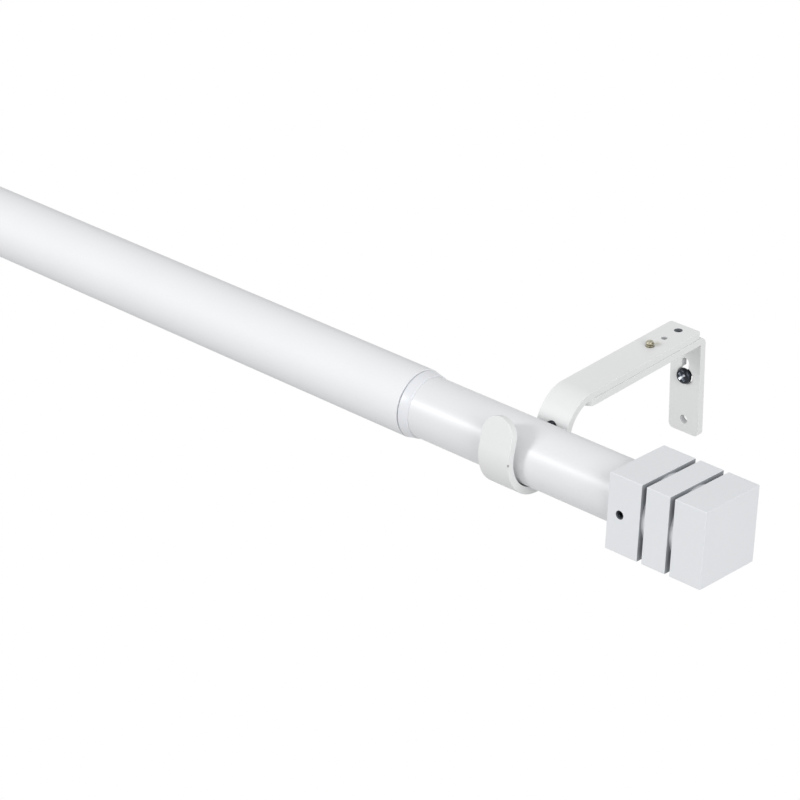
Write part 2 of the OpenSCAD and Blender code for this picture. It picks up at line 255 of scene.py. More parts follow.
def between(finish, factor, first, second):
    """A colour between two colours."""
    inputs = {0: factor, 6: first, 7: second}
    return finish.node("ShaderNodeMix", {"data_type": "RGBA"}, inputs, 2)


def marked(finish, name):
    """A number between 0 and 1 that the mesh carries, such as how deep a valley is."""
    return finish.node("ShaderNodeAttribute", {"attribute_name": name}, {}, "Fac")


print("mid grey as nodes use it", round(tone(128, 128, 128)[0], 3))

# %% [markdown]
# The peel is far too fine to model, so it is a bump, while real hollows and edges are
# geometry. The walls of small holes and narrow grooves get painted shade: the mesh marks
# those faces as cut, and the paint turns grey there. Spots, a painted reflection and shadow
# of brass and a dark fleck, fade out round a place on the piece.

# %% Powder coat
PEEL_SIZE = 0.9 * MM
PEEL_HEIGHT = 0.012 * MM
DRIFT_SIZE = 35 * MM
DRIFT_IN_ROUGHNESS = 0.06
COAT_ROUGHNESS = 0.24
# The grey of the painted shade on the walls of holes and grooves.
PAINTED_SHADE_TONE = tone(118, 122, 128)


def paint(name, thin, thick, roughness, coat=0.0, spots=()):
    """Powder coat from thin to thick tone, with spots of (place, radius, tint, strength)."""
    finish = Finish(bpy.data.materials.new(name))
    drift = noise(finish, DRIFT_SIZE)
    peel = noise(finish, PEEL_SIZE)
    colour = between(finish, drift, thin, thick)
    for place, radius, tint, strength in spots:
        reach = distance_from(finish, place)
        fade = finish.node("ShaderNodeMapRange", {"interpolation_type": "SMOOTHSTEP"},
                           (reach, 0, radius, strength, 0))
        colour = between(finish, fade, colour, tint)
    # Faces marked cut turn grey: painted shade on the walls of holes and grooves.
    colour = between(finish, marked(finish, "cut"), colour, PAINTED_SHADE_TONE)
    shader = finish.node("ShaderNodeBsdfPrincipled", {}, {
        "Base Color": colour,
        "Roughness": roughness + (drift - 0.5) * DRIFT_IN_ROUGHNESS,
        "Normal": bump(finish, peel, PEEL_HEIGHT),
        "Coat Weight": coat,
        "Coat Roughness": COAT_ROUGHNESS,
    })
    return finish.close(shader)


print("peel", PEEL_SIZE, "m wide and", PEEL_HEIGHT, "m high")

# %% [markdown]
# Four paints follow. The wider tube is satin and spreads the light, the thinner one is
# glossier and carries a band of shine, and the finials are matt. The right bracket has two
# spots: a yellowish patch behind the tip of its brass screw, a painted reflection and shadow
# of the brass, and one dark fleck on the edge of its cradle.

# %% The four paints
# A painted reflection and shadow of the brass tip, yellowish, on the arm behind it.
BRASS_REFLECTION_TONE = tone(194, 190, 166)
BRASS_REFLECTION_OFFSET = Vector((0.6, 3.0, -1.8)) * MM
BRASS_REFLECTION_RADIUS = 2.4 * MM
BRASS_REFLECTION_STRENGTH = 0.55
FLECK_TONE = tone(96, 96, 98)
FLECK_FORWARD = 15.6 * MM
FLECK_UP = 2.3 * MM
FLECK_RADIUS = 0.75 * MM

arm_screw_low, arm_screw_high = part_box("right_arm_screw")
arm_screw = middle(arm_screw_low, arm_screw_high)
# The painted brass reflection and shadow sits just behind the screw's tip.
brass_reflection = Vector((arm_screw.x, arm_screw.y, arm_screw_high.z)) + BRASS_REFLECTION_OFFSET
cradle_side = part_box("right_bracket_arm")[1].x
fleck = Vector((cradle_side, rod_y - FLECK_FORWARD, rod_z + FLECK_UP))
painted_reflection_and_fleck = [
    (brass_reflection, BRASS_REFLECTION_RADIUS, BRASS_REFLECTION_TONE, BRASS_REFLECTION_STRENGTH),
    (fleck, FLECK_RADIUS, FLECK_TONE, 1.0),
]
finishes = {
    "outer_tube_paint": paint(
        "outer_tube_paint", tone(231, 232, 234), tone(235, 236, 238), 0.62),
    "inner_tube_paint": paint(
        "inner_tube_paint", tone(226, 227, 229), tone(230, 231, 233), 0.38, coat=0.1),
    "finial_paint": paint(
        "finial_paint", tone(226, 228, 231), tone(230, 232, 235), 0.55),
    "bracket_paint": paint(
        "bracket_paint", tone(228, 229, 229), tone(233, 234, 234), 0.45, spots=painted_reflection_and_fleck),
}
print("painted finishes", sorted(finishes))

# %% [markdown]
# The collar at the mouth and the hidden guides are moulded plastic: smoother than paint, a
# little translucent at the skin, with a faint flow pattern. The screws are metal. Yellow
# zinc is a pale coat, and black nickel is almost black with a hard shine. Both are painted
# darker and browner in the valleys of a thread, a painted shade, and the driver's recess is
# painted pale as steel, a painted glint.

# %% Plastic and metal finishes
FLOW_SIZE = 6 * MM
FLOW_TONE = tone(236, 236, 236)
FLOW_IN_TONE = 0.4
FLOW_IN_ROUGHNESS = 0.08
SKIN_GLOW = 0.05
SKIN_DEPTH = 0.5 * MM
STAIN_SIZE = 0.8 * MM
STAIN_HEIGHT = 0.01 * MM
STAIN_IN_ROUGHNESS = 0.2
# Pale steel painted into the driver recess: a painted glint.
PAINTED_GLINT_STEEL = tone(196, 200, 206)


def plastic(name, colour, roughness):
    """Moulded plastic with a faint flow in its tone and its gloss."""
    finish = Finish(bpy.data.materials.new(name))
    flow = noise(finish, FLOW_SIZE, detail=1.0)
    shader = finish.node("ShaderNodeBsdfPrincipled", {}, {
        "Base Color": between(finish, flow * FLOW_IN_TONE, colour, FLOW_TONE),
        "Roughness": roughness + flow * FLOW_IN_ROUGHNESS,
        "Subsurface Weight": SKIN_GLOW,
        "Subsurface Scale": SKIN_DEPTH,
    })
    return finish.close(shader)


def plated(name, pale, dark, roughness):
    """Plated metal with small cloudy stains, painted shade in its thread valleys and a painted
    glint in its driver recess.
    """
    finish = Finish(bpy.data.materials.new(name))
    stain = noise(finish, STAIN_SIZE, detail=4.0)
    # Thread valleys are painted dark, a painted shade; elsewhere stains vary at random.
    coat = between(finish, stain * (1 - marked(finish, "valley_shade")), dark, pale)
    shader = finish.node("ShaderNodeBsdfPrincipled", {}, {
        # The recess is painted pale as steel, a painted glint.
        "Base Color": between(finish, marked(finish, "recess_glint"), coat, PAINTED_GLINT_STEEL),
        "Metallic": 1.0,
        "Roughness": roughness + (1 - stain) * STAIN_IN_ROUGHNESS,
        "Normal": bump(finish, stain, STAIN_HEIGHT),
    })
    return finish.close(shader)


finishes["collar_plastic"] = plastic("collar_plastic", tone(225, 227, 232), 0.3)
finishes["guide_plastic"] = plastic("guide_plastic", tone(226, 226, 222), 0.5)
finishes["brass_screw"] = plated("brass_screw", tone(218, 215, 198), tone(100, 92, 68), 0.36)
finishes["dark_screw_steel"] = plated("dark_screw_steel", tone(70, 74, 80), tone(24, 26, 30), 0.22)
print("all finishes", sorted(finishes))

# %% [markdown]
# Every new piece stands for one CAD node. It takes that node's place, moves with the same
# body and has the finish of the same material slot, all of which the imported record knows.

# %% Put a piece in its node's place
record = frame["record"]
body_of = {
    node: body
    for body, members in record["behaviour"]["bodies"].items()
    for node in members
}
slot_of = {part["node"]: part["material_slot"] for part in record["subparts"]}


def install(piece, node):
    """Gives a piece its finish and lets it stand for a CAD node."""
    slot = slot_of[node]
    piece.data.materials.clear()
    piece.data.materials.append(finishes[slot])
    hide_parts(node)
    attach(piece, body_of[node])
    print(piece.name, "stands for", node, "with", len(piece.data.polygons), "faces")


# %% [markdown]
# Pieces are first drawn as a bmesh, a loose net of corners and faces, and then become
# objects. Shading is smooth across shallow angles and breaks at the sharp edges. Modifiers
# are settled into the mesh.

# %% From a net of faces to a piece
SHARP_ANGLE = math.radians(38)
SIDES = ("left", "right")


def settle(piece):
    """Turns a piece's modifiers into its mesh."""
    graph = bpy.context.evaluated_depsgraph_get()
    mesh = bpy.data.meshes.new_from_object(piece.evaluated_get(graph))
    piece.modifiers.clear()
    piece.data = mesh
    return piece


def smooth(mesh):
    """Shades a mesh smooth except across its sharp edges."""
    mesh.polygons.foreach_set("use_smooth", [True] * len(mesh.polygons))
    mesh.set_sharp_from_angle(angle=SHARP_ANGLE)


def new_piece(name, bm):
    """Makes an object of a bmesh."""
    bmesh.ops.recalc_face_normals(bm, faces=bm.faces)
    mesh = bpy.data.meshes.new(name)
    bm.to_mesh(mesh)
    bm.free()
    smooth(mesh)
    piece = bpy.data.objects.new(name, mesh)
    bpy.context.scene.collection.objects.link(piece)
    return piece


def quarter_turn(steps):
    """(sine, cosine) of even steps from 0 to 90 degrees."""
    angles = [math.pi / 2 * i / steps for i in range(steps + 1)]
    return [(math.sin(angle), math.cos(angle)) for angle in angles]


def strip_between(bm, first, second):
    """A closed strip of faces between two rings with as many corners."""
    faces = []
    for i in range(len(first)):
        j = (i + 1) % len(first)
        faces.append(bm.faces.new((first[i], first[j], second[j], second[i])))
    return faces


print("edges are sharp from", round(math.degrees(SHARP_ANGLE)), "degrees")

# %% [markdown]
# Tubes, collar, guides and washers are bodies of revolution. A lathe is the honest tool for
# them: an outline of places along the axis and radii is swung round. The corners of the
# outline are rounded first, because every cut edge that has been painted or moulded catches
# a thin line of light, and a dead sharp one does not.

# %% Lathe
LATHE_SIDES = 128
ARC_STEPS = 3
ARC_LIMIT = 0.45


def eased(outline, radius):
    """A closed outline whose corners are small arcs, kept off the middle of its sides."""
    points = [Vector(p) for p in outline]
    result = []
    for i, corner in enumerate(points):
        before = points[i - 1] - corner
        after = points[(i + 1) % len(points)] - corner
        room = min(before.length * ARC_LIMIT, after.length * ARC_LIMIT)
        reach = min(radius / math.tan(before.angle(after) / 2), room)
        start = corner + before.normalized() * reach
        end = corner + after.normalized() * reach
        for step in range(ARC_STEPS + 1):
            t = step / ARC_STEPS
            result.append(start * (1 - t) ** 2 + corner * 2 * t * (1 - t) + end * t ** 2)
    return result


def unit_axes(axis):
    """An axis of unit length and two directions square to it."""
    axis = Vector(axis).normalized()
    side = axis.orthogonal().normalized()
    return axis, side, axis.cross(side)


def lathe(name, outline, origin, axis):
    """Swings a closed outline of (along, radius) round an axis through origin."""
    axis, side, other = unit_axes(axis)
    bm = bmesh.new()
    rings = []
    for along_axis, radius in outline:
        centre = Vector(origin) + axis * along_axis
        ring = []
        for i in range(LATHE_SIDES):
            angle = 2 * math.pi * i / LATHE_SIDES
            spoke = (side * math.cos(angle) + other * math.sin(angle)) * radius
            ring.append(bm.verts.new(centre + spoke))
        rings.append(ring)
    for first, second in zip(rings, rings[1:] + rings[:1]):
        strip_between(bm, first, second)
    return new_piece(name, bm)


print("an eased square has", len(eased([(0, 1), (1, 1), (1, 2), (0, 2)], 0.2)), "corners")

# %% [markdown]
# The two tubes carry the whole look of the rod, so each gets its own fine mesh in place of
# the CAD facets, with the rolled edge that a painted tube end has.

# %% Tubes
TUBE_WALL = 0.8 * MM
TUBE_EDGE = 0.4 * MM


def tube(name, node):
    """A tube along X in the place of a CAD node."""
    low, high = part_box(node)
    centre = middle(low, high)
    radius = (high.z - low.z) / 2
    bore = radius - TUBE_WALL
    length = high.x - low.x
    outline = [(0, radius), (length, radius), (length, bore), (0, bore)]
    return lathe(name, eased(outline, TUBE_EDGE), (low.x, centre.y, centre.z), (1, 0, 0))


install(tube("painted_outer_tube", "outer_tube"), "outer_tube")
install(tube("painted_inner_tube", "inner_tube"), "inner_tube")

# %% [markdown]
# The collar is pressed into the wider tube and rings the thinner one. Only its tapered nose
# shows, and behind it the real one has a plug. The glide does the same at the hidden end of
# the thinner tube, and a stepped adapter fits the left finial to the wider tube. Each arm
# screw has a punched washer under its head.

# %% Collar, glide, adapter and washers
PLASTIC_EDGE = 0.12 * MM
GUIDE_GAP = 0.04 * MM
COLLAR_STEP = 0.25 * MM
COLLAR_LIP = 0.4 * MM
COLLAR_SHOULDER = 0.7 * MM
GUIDE_BORE = 7.5 * MM
WASHER_BORE = 1.7 * MM
WASHER_EDGE = 0.12 * MM
outer_bore = outer_r - TUBE_WALL
inner_bore = inner_r - TUBE_WALL


def along_rod(name, outline, start_x):
    """A moulded piece on the rod's centre line, its outline told from start_x."""
    return lathe(name, eased(outline, PLASTIC_EDGE), (start_x, rod_y, rod_z), (1, 0, 0))


def collar():
    """The collar's plug and its tapered nose, from the mouth of the wider tube."""
    low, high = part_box("tube_collar")
    bore = inner_r + GUIDE_GAP
    rim = outer_r - COLLAR_STEP
    plug = low.x - mouth_x
    nose = high.x - mouth_x
    outline = [
        (plug, bore), (plug, outer_bore), (0, outer_bore), (0, rim - COLLAR_SHOULDER),
        (COLLAR_SHOULDER, rim), (nose - COLLAR_LIP, bore + COLLAR_LIP),
        (nose, bore + GUIDE_GAP), (nose, bore),
    ]
    return along_rod("moulded_collar", outline, mouth_x)


def glide():
    """A ring that runs in the wider tube, on a plug in the thinner one."""
    low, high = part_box("inner_tube_glide")
    ring = outer_bore - GUIDE_GAP
    shoulder = inner_low.x - low.x
    length = high.x - low.x
    outline = [
        (0, GUIDE_BORE), (0, ring), (shoulder, ring), (shoulder, inner_bore),
        (length, inner_bore), (length, GUIDE_BORE),
    ]
    return along_rod("moulded_glide", outline, low.x)


def adapter():
    """The plug in the left finial, a flange, and the plug in the wider tube."""
    low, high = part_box("left_finial_adapter")
    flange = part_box("left_finial")[1].x - low.x
    step = outer_low.x - low.x
    length = high.x - low.x
    outline = [
        (0, GUIDE_BORE), (0, inner_r), (flange, inner_r), (flange, outer_r), (step, outer_r),
        (step, outer_bore), (length, outer_bore), (length, GUIDE_BORE),
    ]
    return along_rod("moulded_adapter", outline, low.x)


def washer(side):
    """A punched washer under the arm screw's head."""
    low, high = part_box(side + "_arm_washer")
    centre = middle(low, high)
    radius = (high.x - low.x) / 2
    thick = high.z - low.z
    outline = [(0, WASHER_BORE), (0, radius), (thick, radius), (thick, WASHER_BORE)]
    origin = (centre.x, centre.y, low.z)
    return lathe(side + "_punched_washer", eased(outline, WASHER_EDGE), origin, (0, 0, 1))


install(collar(), "tube_collar")
install(glide(), "inner_tube_glide")
install(adapter(), "left_finial_adapter")
for side in SIDES:
    install(washer(side), side + "_arm_washer")

# %% [markdown]
# Arm and wall plate are lengths of flat bar, cut, rounded at the corners and bent, and then
# painted. They are made the same way here: a flat blank with its corner radii is laid along
# a route of straight and bent stretches. Each point of the blank keeps its distance along
# the bar, so the softened edge follows round bends and round ends alike.

# %% Bend a flat bar
BAR_THICK = 2.7 * MM
BAR_EDGE = 0.2 * MM
EDGE_STEPS = 4
CORNER_STEPS = 9
BEND_STEP = math.radians(4)
WELD = 0.002 * MM


def along(moves, start, heading, distance):
    """The place and heading on a route of (length, bend per length) moves in Y and Z."""
    place = Vector(start)
    for length, bend in moves:
        part = min(length, distance)
        if bend == 0:
            place = place + Vector((math.cos(heading), math.sin(heading))) * part
        else:
            turned = heading + bend * part
            place = place + Vector((
                math.sin(turned) - math.sin(heading),
                math.cos(heading) - math.cos(turned),
            )) / bend
            heading = turned
        distance -= part
        if distance <= 0:
            break
    return place, heading


def blank_edge(moves, half_width, first_corner, last_corner):
    """One edge of the flat blank: distance along, half width, and the outward direction."""
    length = sum(move[0] for move in moves)
    edge = []
    for sine, cosine in reversed(quarter_turn(CORNER_STEPS)):
        width = half_width - first_corner * (1 - cosine)
        edge.append((first_corner * (1 - sine), width, -sine, cosine))
    done = 0
    for stretch, bend in moves:
        steps = max(1, math.ceil(abs(bend) * stretch / BEND_STEP))
        for i in range(steps + 1):
            distance = done + stretch * i / steps
            if edge[-1][0] + BAR_EDGE < distance < length - last_corner - BAR_EDGE:
                edge.append((distance, half_width, 0, 1))
        done += stretch
    for sine, cosine in quarter_turn(CORNER_STEPS):
        width = half_width - last_corner * (1 - cosine)
        edge.append((length - last_corner * (1 - sine), width, sine, cosine))
    return edge


def soft_side():
    """The bar's side from its lower to its upper face: how far inside, and how high."""
    straight = BAR_THICK / 2 - BAR_EDGE
    upper = [
        (BAR_EDGE * (1 - cosine), straight + BAR_EDGE * sine)
        for sine, cosine in quarter_turn(EDGE_STEPS)
    ]
    return [(inset, -height) for inset, height in reversed(upper)] + upper


def bent_bar(name, moves, start, heading, centre_x, half_width, corners):
    """A flat bar, its first and last corners rounded and its edges soft, bent along its route."""
    rim = soft_side()
    bm = bmesh.new()
    # A layer for the painted shade, 0 on the bar's own faces, filled by the holes cut later.
    bm.faces.layers.float.new("cut")
    columns = {1: [], -1: []}
    for distance, width, out_along, out_across in blank_edge(moves, half_width, *corners):
        for side in (1, -1):
            column = []
            for inset, height in rim:
                at, facing = along(moves, start, heading, distance - out_along * inset)
                normal = Vector((-math.sin(facing), math.cos(facing)))
                spot = at + normal * height
                across = side * (width - out_across * inset)
                column.append(bm.verts.new((centre_x + across, spot.x, spot.y)))
            columns[side].append(column)
    right, left = columns[1], columns[-1]
    rows = len(rim)
    for i in range(len(right) - 1):
        for column, turn in ((right, 1), (left, -1)):
            for j in range(rows - 1):
                quad = [column[i][j], column[i + 1][j], column[i + 1][j + 1], column[i][j + 1]]
                bm.faces.new(quad[::turn])
        bm.faces.new((right[i][-1], right[i + 1][-1], left[i + 1][-1], left[i][-1]))
        bm.faces.new((right[i + 1][0], right[i][0], left[i][0], left[i + 1][0]))
    for j in range(rows - 1):
        bm.faces.new((right[0][j], right[0][j + 1], left[0][j + 1], left[0][j]))
        bm.faces.new((right[-1][j], left[-1][j], left[-1][j + 1], right[-1][j + 1]))
    bmesh.ops.remove_doubles(bm, verts=bm.verts, dist=WELD)
    bmesh.ops.dissolve_degenerate(bm, edges=bm.edges, dist=WELD)
    return new_piece(name, bm)


print("soft edge of the bar", BAR_EDGE, "m")

# %% [markdown]
# Holes in painted bar have a soft rim too. A cutter that flares at both faces of the bar
# leaves it: in the bar's thickness it is straight, and its last part opens like a trumpet
# bell. Slots and keyholes are the same cutter, drawn out from one centre to another. The
# straight part carries the cut mark, painted shade on its wall, from 0 for the paint's own
# tone to 1 for the darkest grey.

# %% Cut soft-rimmed holes
RIM_EDGE = 0.12 * MM
HOLE_SIDES = 48


def hole_cutter(centre, through, radius, thick, reach=(0, 0, 0), grey=1.0):
    """A flared cutter round a line from the centre to the centre plus its reach."""
    centre = Vector(centre)
    through = Vector(through).normalized()
    reach = Vector(reach)
    side = reach.normalized() if reach.length > 0 else through.orthogonal().normalized()
    other = through.cross(side)
    upper = [
        (thick / 2 - RIM_EDGE * (1 - sine), RIM_EDGE * (1 - cosine))
        for sine, cosine in quarter_turn(EDGE_STEPS)
    ]
    upper.append((thick / 2 + RIM_EDGE, RIM_EDGE))
    stack = [(-height, flare) for height, flare in reversed(upper)] + upper
    bm = bmesh.new()
    rings = []
    for height, flare in stack:
        ring = []
        for i in range(HOLE_SIDES):
            angle = 2 * math.pi * (i + 0.5) / HOLE_SIDES
            spoke = (side * math.cos(angle) + other * math.sin(angle)) * (radius + flare)
            end = reach if math.cos(angle) > 0 else Vector((0, 0, 0))
            ring.append(bm.verts.new(centre + through * height + end + spoke))
        rings.append(ring)
    # The straight wall gets painted shade, a grey as if in shade; the flared rim keeps the paint.
    shade_mark = bm.faces.layers.float.new("cut")
    for k, (first, second) in enumerate(zip(rings, rings[1:])):
        flared = k < EDGE_STEPS or k > len(stack) - EDGE_STEPS - 2
        for face in strip_between(bm, first, second):
            face[shade_mark] = 0 if flared else grey
    bm.faces.new(rings[0][::-1])
    bm.faces.new(rings[-1])
    return new_piece("cutter", bm)


def cut(piece, cutters):
    """Takes the cutters out of a piece and then throws them away."""
    for cutter in cutters:
        modifier = piece.modifiers.new("cut", "BOOLEAN")
        modifier.operation = "DIFFERENCE"
        modifier.solver = "EXACT"
        modifier.object = cutter
    settle(piece)
    for cutter in cutters:
        bpy.data.objects.remove(cutter, do_unlink=True)
    return piece


def even_light(piece):
    """Lets flat faces keep their own normal and leaves the bend of light to the soft edges."""
    smooth(piece.data)
    modifier = piece.modifiers.new("even light", "WEIGHTED_NORMAL")
    modifier.keep_sharp = True
    return settle(piece)


print("a hole's rim flares by", RIM_EDGE, "m")

# %% [markdown]
# The arm starts at its heel above the leg, runs out level, turns down behind the rod, wraps
# under it as a cradle and ends in a tongue with a half-round tip. Its three holes near the
# heel and the tapped hole behind the rod are cut after bending, as in the model. Each hole
# near the heel is told by its distance from the heel's end, its radius and how much painted
# shade its wall gets: the small pilot hole in the middle gets less and looks paler.

# %% Bracket arms
SLIDE_GAP = 0.1 * MM
CRADLE_R = 12.9 * MM
ARM_RISE = 10.6 * MM
ARM_BEND_R = 14 * MM
ARM_LEAN = math.radians(20)
TONGUE_LEAN = math.radians(15)
TONGUE_LENGTH = 11.5 * MM
HEEL_CORNER = 1 * MM
# Each hole: distance from the heel's end, radius, and how much painted shade its wall gets.
ARM_HOLES = ((4.3 * MM, 1.5 * MM, 1.0), (12.1 * MM, 1.1 * MM, 0.5), (19.9 * MM, 1.55 * MM, 1.0))
LOCK_HOLE_R = 2.55 * MM
LOCK_HOLE_DEPTH = 8 * MM


def bracket_arm(side):
    """One bent arm with its holes."""
    low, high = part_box(side + "_bracket_arm")
    centre = middle(low, high)
    mid_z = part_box(side + "_wall_plate")[1].z + SLIDE_GAP + BAR_THICK / 2
    # The centre of the bend behind the rod, told from the rod: how far back and how high.
    bend = Vector((0, ARM_RISE - ARM_BEND_R))
    bend.x = (CRADLE_R + ARM_BEND_R + bend.y * math.sin(ARM_LEAN)) / math.cos(ARM_LEAN)
    bend_r = ARM_BEND_R - BAR_THICK / 2
    cradle_r = CRADLE_R + BAR_THICK / 2
    turn_down = math.pi / 2 - ARM_LEAN
    wrap = math.pi - ARM_LEAN + TONGUE_LEAN
    lean = Vector((math.sin(ARM_LEAN), math.cos(ARM_LEAN))).dot(bend)
    moves = [
        (high.y - rod_y - bend.x, 0),
        (bend_r * turn_down, 1 / bend_r),
        (lean, 0),
        (cradle_r * wrap, -1 / cradle_r),
        (TONGUE_LENGTH, 0),
    ]
    half_width = (high.x - low.x) / 2
    arm = bent_bar(side + "_bent_arm", moves, (high.y, mid_z), math.pi, centre.x, half_width,
                   (HEEL_CORNER, half_width))
    cutters = [
        hole_cutter((centre.x, high.y - place, mid_z), (0, 0, 1), radius, BAR_THICK, grey=grey)
        for place, radius, grey in ARM_HOLES
    ]
    lock = middle(*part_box(side + "_cradle_screw"))
    cutters.append(hole_cutter(lock, (0, 1, 0), LOCK_HOLE_R, LOCK_HOLE_DEPTH))
    print(side, "arm is cut from", round(sum(move[0] for move in moves) / MM, 1), "mm of bar")
    return even_light(cut(arm, cutters))


for side in SIDES:
    install(bracket_arm(side), side + "_bracket_arm")

# %% [markdown]
# The wall plate is the same bar with one bend. Its leg has the slot that the arm screw
# travels along. The plate has a round hole low down and a keyhole above it: the head of a
# wall screw passes the round part, and the slot above lets the plate drop onto the shank.
# The walls of these wider holes get only a little painted shade.

# %% Wall plates
PLATE_BEND_R = 3 * MM
LEG_CORNER = 2.5 * MM
PLATE_CORNER = 2 * MM
SLOT_R = 1.7 * MM
SLOT_LAND = 4 * MM
LOWER_HOLE_R = 1.65 * MM
LOWER_HOLE_UP = 5.1 * MM
KEYHOLE_R = 3.3 * MM
KEYHOLE_UP = 17.6 * MM
KEYHOLE_SLOT_R = 1.5 * MM
KEYHOLE_RISE = 5.3 * MM
# How much painted shade the walls of the plate's holes get.
PLATE_PAINTED_SHADE = 0.22


def wall_plate(side):
    """One L-shaped wall plate with its slot and holes."""
    low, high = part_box(side + "_wall_plate")
    centre = middle(low, high)
    half_width = (high.x - low.x) / 2
    bend_r = PLATE_BEND_R - BAR_THICK / 2
    moves = [
        (high.y - low.y - PLATE_BEND_R, 0),
        (bend_r * math.pi / 2, -1 / bend_r),
        (high.z - low.z - PLATE_BEND_R, 0),
    ]
    leg_z = high.z - BAR_THICK / 2
    plate = bent_bar(side + "_bent_plate", moves, (low.y, leg_z), 0, centre.x, half_width,
                     (LEG_CORNER, PLATE_CORNER))
    screw_y = middle(*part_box(side + "_arm_screw")).y
    slot_reach = (0, low.y + SLOT_LAND + SLOT_R - screw_y, 0)
    face = high.y - BAR_THICK / 2
    into_wall = (0, 1, 0)
    lower_hole = (centre.x, face, low.z + LOWER_HOLE_UP)
    keyhole = (centre.x, face, low.z + LOWER_HOLE_UP + KEYHOLE_UP)
    keyhole_reach = (0, 0, KEYHOLE_RISE)
    cutters = [
        hole_cutter((centre.x, screw_y, leg_z), (0, 0, 1), SLOT_R, BAR_THICK, slot_reach),
        hole_cutter(lower_hole, into_wall, LOWER_HOLE_R, BAR_THICK, grey=PLATE_PAINTED_SHADE),
        hole_cutter(keyhole, into_wall, KEYHOLE_R, BAR_THICK, grey=PLATE_PAINTED_SHADE),
        hole_cutter(keyhole, into_wall, KEYHOLE_SLOT_R, BAR_THICK, keyhole_reach, PLATE_PAINTED_SHADE),
    ]
    return even_light(cut(plate, cutters))


for side in SIDES:
    install(wall_plate(side), side + "_wall_plate")

# %% [markdown]
# The finial is a square block with two grooves turned into it on a lathe, so a groove is
# deep at the corners and shallow in the middle of each face. The mesh is one stack of rings
# along the rod: rounded squares for the three slices, circles for the two necks and for the
# socket that takes the tube. The walls of the grooves are marked as cut and get painted
# shade, a grey as if in shade. The set screw's hole is drilled at the end.

# %% Finials
SLICES = (13.1 * MM, 9.4 * MM, 12.4 * MM)
GROOVE = 1.95 * MM
NECK_R = 12.8 * MM
SOCKET_R = 11.1 * MM
SOCKET_DEPTH = 10.5 * MM
FINIAL_EDGE = 0.25 * MM
GROOVE_EDGE = 0.12 * MM
RIGHT_FINIAL_TURN = math.radians(-3.9)
SET_HOLE_R = 1.55 * MM
FINIAL_HALF = 13.8 * MM
SIDE_STEPS = 14
# How much painted shade the walls of the grooves get.
GROOVE_PAINTED_SHADE = 0.73


def square_radius(angle, half, corner):
    """How far a rounded square reaches from its middle in a direction."""
    across = abs(math.cos(angle))
    upward = abs(math.sin(angle))
    flat = half / max(across, upward)
    core = half - corner
    if min(across, upward) * flat <= core:
        return flat
    middle_part = core * (across + upward)
    return middle_part + math.sqrt(middle_part ** 2 - 2 * core ** 2 + corner ** 2)


def finial_angles():
    """Directions round the block: even ones along each side and close ones round the corners."""
    core = FINIAL_HALF - FINIAL_EDGE
    reach = math.atan2(core, FINIAL_HALF)
    one_side = [reach * (2 * i / SIDE_STEPS - 1) for i in range(SIDE_STEPS + 1)]
    for sine, cosine in quarter_turn(EDGE_STEPS)[1:-1]:
        one_side.append(math.atan2(core + FINIAL_EDGE * sine, core + FINIAL_EDGE * cosine))
    return [angle + math.pi / 2 * quarter for quarter in range(4) for angle in one_side]


def finial_rings():
    """(along, half side, corner radius) of the rings; a circle's corner is its whole radius."""
    rings = []
    place = 0
    last = len(SLICES) - 1
    for k, length in enumerate(SLICES):
        edge = FINIAL_EDGE if k == 0 else GROOVE_EDGE
        for sine, cosine in quarter_turn(EDGE_STEPS):
            spot = place + edge * (1 - cosine)
            rings.append((spot, FINIAL_HALF - edge * (1 - sine), FINIAL_EDGE))
        edge = FINIAL_EDGE if k == last else GROOVE_EDGE
        for sine, cosine in reversed(quarter_turn(EDGE_STEPS)):
            spot = place + length - edge * (1 - cosine)
            rings.append((spot, FINIAL_HALF - edge * (1 - sine), FINIAL_EDGE))
        place += length
        if k < last:
            rings.append((place, NECK_R, NECK_R))
            place += GROOVE
            rings.append((place, NECK_R, NECK_R))
    return rings


def finial(side, outward, turn):
    """One square finial, from its inner face towards the end of the rod."""
    low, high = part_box(side + "_finial")
    start = Vector((low.x if outward > 0 else high.x, rod_y, rod_z))
    bm = bmesh.new()
    shade_mark = bm.faces.layers.float.new("cut")
    turned = Matrix.Rotation(turn, 3, "X")
    stack = [(SOCKET_DEPTH, SOCKET_R, SOCKET_R), (0, SOCKET_R, SOCKET_R)] + finial_rings()
    angles = finial_angles()
    loops = []
    for place, reach, corner in stack:
        loop = []
        for angle in angles:
            radius = square_radius(angle, reach, corner)
            local = Vector((outward * place, radius * math.cos(angle), radius * math.sin(angle)))
            loop.append(bm.verts.new(start + turned @ local))
        loops.append(loop)
    # Groove walls get painted shade, grey as if in shade.
    for k, (first, second) in enumerate(zip(loops, loops[1:])):
        groove_wall = (stack[k][1] == NECK_R) != (stack[k + 1][1] == NECK_R)
        for face in strip_between(bm, first, second):
            face[shade_mark] = GROOVE_PAINTED_SHADE if groove_wall else 0
    bm.faces.new(loops[0])
    bm.faces.new(loops[-1][::-1])
    block = new_piece(side + "_turned_finial", bm)
    screw = middle(*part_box(side + "_finial_screw"))
    drill = turned @ Vector((0, -1, 0))
    depth = (screw - start).dot(drill)
    cutter = hole_cutter(screw, drill, SET_HOLE_R, 2 * (FINIAL_HALF - depth))
    return even_light(cut(block, [cutter]))


install(finial("left", -1, 0), "left_finial")
install(finial("right", 1, RIGHT_FINIAL_TURN), "right_finial")

# %% [markdown]
# The screws are the only dark and brassy things in the picture, so each has its thread, a
# bevelled tip and its driver's recess. Every screw is one stack of rings. A ring has a height
# and a radius for each direction: a thread is a radius that climbs with the direction, and a
# hexagon or a cross is a ring of that shape. The stack starts at the bottom of the recess,
# comes out over the head and runs down the shank.

